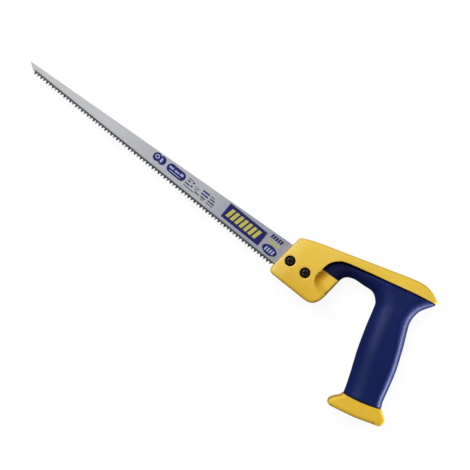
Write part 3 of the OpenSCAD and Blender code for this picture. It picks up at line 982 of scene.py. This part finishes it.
NUT = [(2.05, 11.6), (2.7, 11.6), (3.0, 11.3), (3.0, -13.6), (5.2, -13.6), (5.2, -14.3), (4.7, -14.75),
       (2.4, -14.8), (2.05, -14.45)]


def turned(profile, centre, recess):
    """A closed body turned round the screw's axis. A profile that starts and ends off the axis closes on
    itself as a ring; recess sinks the cross into the top."""
    a = np.linspace(0, 2 * math.pi, TURNS + 1)[:-1]
    verts, faces, rings = [], [], []
    for r, z in profile:
        rings.append(list(range(len(verts), len(verts) + (1 if r == 0 else TURNS))))
        for t in (a[:1] if r == 0 else a):
            u, v = r * math.cos(t - RECESS_TURN), r * math.sin(t - RECESS_TURN)
            sink = cross_depth(u, v) if recess and z > RECESS_Z else 0.0
            verts.append((centre[0] + r * math.cos(t), centre[1] + r * math.sin(t), z - sink))
    pairs = list(zip(rings, rings[1:])) + ([(rings[-1], rings[0])] if profile[0][0] > 0 else [])
    for p, q in pairs:
        for i in range(TURNS):
            j = (i + 1) % TURNS
            face = [p[i % len(p)], q[i % len(q)], q[j % len(q)], p[j % len(p)]]
            faces.append([v for k, v in enumerate(face) if v != face[k - 1]])
    return verts, faces


def cross_depth(u, v):
    """Depth of the tapered cross recess at a point of the screw head."""
    near, far = min(abs(u), abs(v)), max(abs(u), abs(v))
    side = min(max((CROSS_HALF - near) / CROSS_SIDE, 0), 1)
    end = min(max((CROSS_REACH - far) / CROSS_END, 0), 1)
    return CROSS_DEPTH * side * end


def screw_profile():
    """Low round head, shank and chamfered end, from the top of the head down."""
    dome = [(r, HEAD_TOP_Z - DOME_DROP * (r / HEAD_FACE_R) ** 2)
            for r in np.linspace(0, DOME_R, DOME_RINGS)]
    edge = [(DOME_R + EDGE_R * math.sin(t), EDGE_Z + EDGE_R * math.cos(t)) for t in np.radians(EDGE_TURNS)]
    return dome + edge + [(HEAD_R, HEAD_SIDE_Z), (HEAD_FOOT_R, HEAD_SEAT_Z), (SHANK_R, HEAD_SEAT_Z),
                          (SHANK_R, SHANK_Z), (POINT_R, POINT_Z), (0, POINT_Z)]


def paint_shade_on_head(piece, centre):
    """Paints shade on the rim of the head and the faces down in the cross, in the dull, darker, warm-tinted
    black: painted shade for the seat and the cross.
    """
    piece.data.materials.append(BLACK_AND_PAINTED_SHADE)
    origin = to_frame([(*centre, 0)])[0]
    for poly in piece.data.polygons:
        d = (poly.center - Vector(origin)) / MM
        u = d.x * math.cos(RECESS_TURN) + d.y * math.sin(RECESS_TURN)
        v = d.y * math.cos(RECESS_TURN) - d.x * math.sin(RECESS_TURN)
        if d.z > HEAD_SIDE_Z and (cross_depth(u, v) > DULL_DEPTH or math.hypot(u, v) > HEAD_FACE_R):
            poly.material_index = 1


def make_fasteners():
    """A screw, a washer and a barrel nut at each of the two places."""
    for end, sx in zip(("front", "rear"), SCREW_X):
        # The washer and nut take the black with painted shade; the screw's cross and head rim are painted
        # with it as shade.
        parts = (("screw", f"{end}_cross_screw", screw_profile(), BLACK, True),
                 ("washer", f"{end}_washer_turned", WASHER, BLACK_AND_PAINTED_SHADE, False),
                 ("nut", f"{end}_nut_turned", NUT, BLACK_AND_PAINTED_SHADE, False))
        for kind, name, profile, finish, recess in parts:
            verts, faces = turned(profile, (sx, SCREW_Y), recess)
            piece = new_object(name, verts, faces, finish, smooth=30)
            if recess:
                paint_shade_on_head(piece, (sx, SCREW_Y))
            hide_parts(f"{end}_{kind}")
            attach(piece, "root")


core = make_core()
grip = make_grip()
butt = make_butt()
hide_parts("handle_core")
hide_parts("soft_grip")
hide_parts("butt_cap")
for piece, slot in ((core, "yellow_plastic"), (grip, "blue_rubber"), (butt, "yellow_plastic")):
    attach(piece, "root")
make_fasteners()
blade = make_blade()
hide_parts("blade")
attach(blade, "root")
make_printing()


# ---- stage, light and camera; lengths in metres ----
VIEW_CENTRE = to_frame([(-46.3, -1.3, 0)])[0]
IMAGE_RIGHT = Vector((0.7773, 0.6292, 0))
IMAGE_UP = Vector((-0.6292, 0.7773, 0))
FRAME_WIDTH = 0.4578
LENS = 150.0
SENSOR = 36.0
FLOOR_HALF = 3
PAPER = (0.07, 0.07, 0.07)
PAPER_GLOW = 0.93
AMBIENT = 0.15


def add_floor():
    """White paper on a light table: it glows evenly, takes a faint shadow and throws no light back."""
    mesh = bpy.data.meshes.new("floor")
    ends = ((-FLOOR_HALF, -FLOOR_HALF), (FLOOR_HALF, -FLOOR_HALF), (FLOOR_HALF, FLOOR_HALF),
            (-FLOOR_HALF, FLOOR_HALF))
    mesh.from_pydata([(x, y, 0) for x, y in ends], [], [(0, 1, 2, 3)])
    paper = material("floor_paper", PAPER, 0.9, Specular_IOR_Level=0.0, Emission_Color=(1, 1, 1, 1),
                     Emission_Strength=PAPER_GLOW)
    wire(paper, mottled(paper, noise(paper, scale=6, detail=2), PAPER, 0.995, 1.0), "Base Color")
    mesh.materials.append(paper)
    floor = bpy.data.objects.new("floor", mesh)
    floor.visible_diffuse = False
    floor.visible_glossy = False
    bpy.context.scene.collection.objects.link(floor)


def add_light(name, right, up, height, size, power):
    """An area light of the size (width, length), placed from the middle of the view along the picture's
    own directions and aimed at that middle."""
    data = bpy.data.lights.new(name, "AREA")
    data.shape = "RECTANGLE"
    data.size, data.size_y = size
    data.energy = power
    light = bpy.data.objects.new(name, data)
    light.location = Vector(VIEW_CENTRE) + IMAGE_RIGHT * right + IMAGE_UP * up + Vector((0, 0, height))
    aim = Vector(VIEW_CENTRE) - light.location
    light.rotation_euler = aim.to_track_quat("-Z", "Y").to_euler()
    light.visible_camera = False
    bpy.context.scene.collection.objects.link(light)


def add_camera():
    """A long lens that looks straight down on the saw, turned as in the photograph."""
    data = bpy.data.cameras.new("camera")
    data.lens = LENS
    data.sensor_width = SENSOR
    camera = bpy.data.objects.new("camera", data)
    back_axis = Vector((0, 0, 1))
    turn = Matrix((IMAGE_RIGHT.normalized(), IMAGE_UP.normalized(), back_axis)).transposed()
    place = Vector(VIEW_CENTRE) + back_axis * FRAME_WIDTH * LENS / SENSOR
    camera.matrix_world = Matrix.Translation(place) @ turn.to_4x4()
    bpy.context.scene.collection.objects.link(camera)
    bpy.context.scene.camera = camera


def add_world(strength):
    """Even white light from all round."""
    world = bpy.data.worlds.new("world")
    world.use_nodes = True
    background = world.node_tree.nodes["Background"]
    background.inputs["Color"].default_value = (1, 1, 1, 1)
    background.inputs["Strength"].default_value = strength
    bpy.context.scene.world = world


add_floor()
add_light("key", right=-0.95, up=1.55, height=2.85, size=(2.4, 2.4), power=141)
add_light("rim", right=0.30, up=-0.185, height=-0.003, size=(0.18, 0.012), power=0.93)
add_world(AMBIENT)
bpy.context.scene.view_settings.view_transform = "Standard"
add_camera()
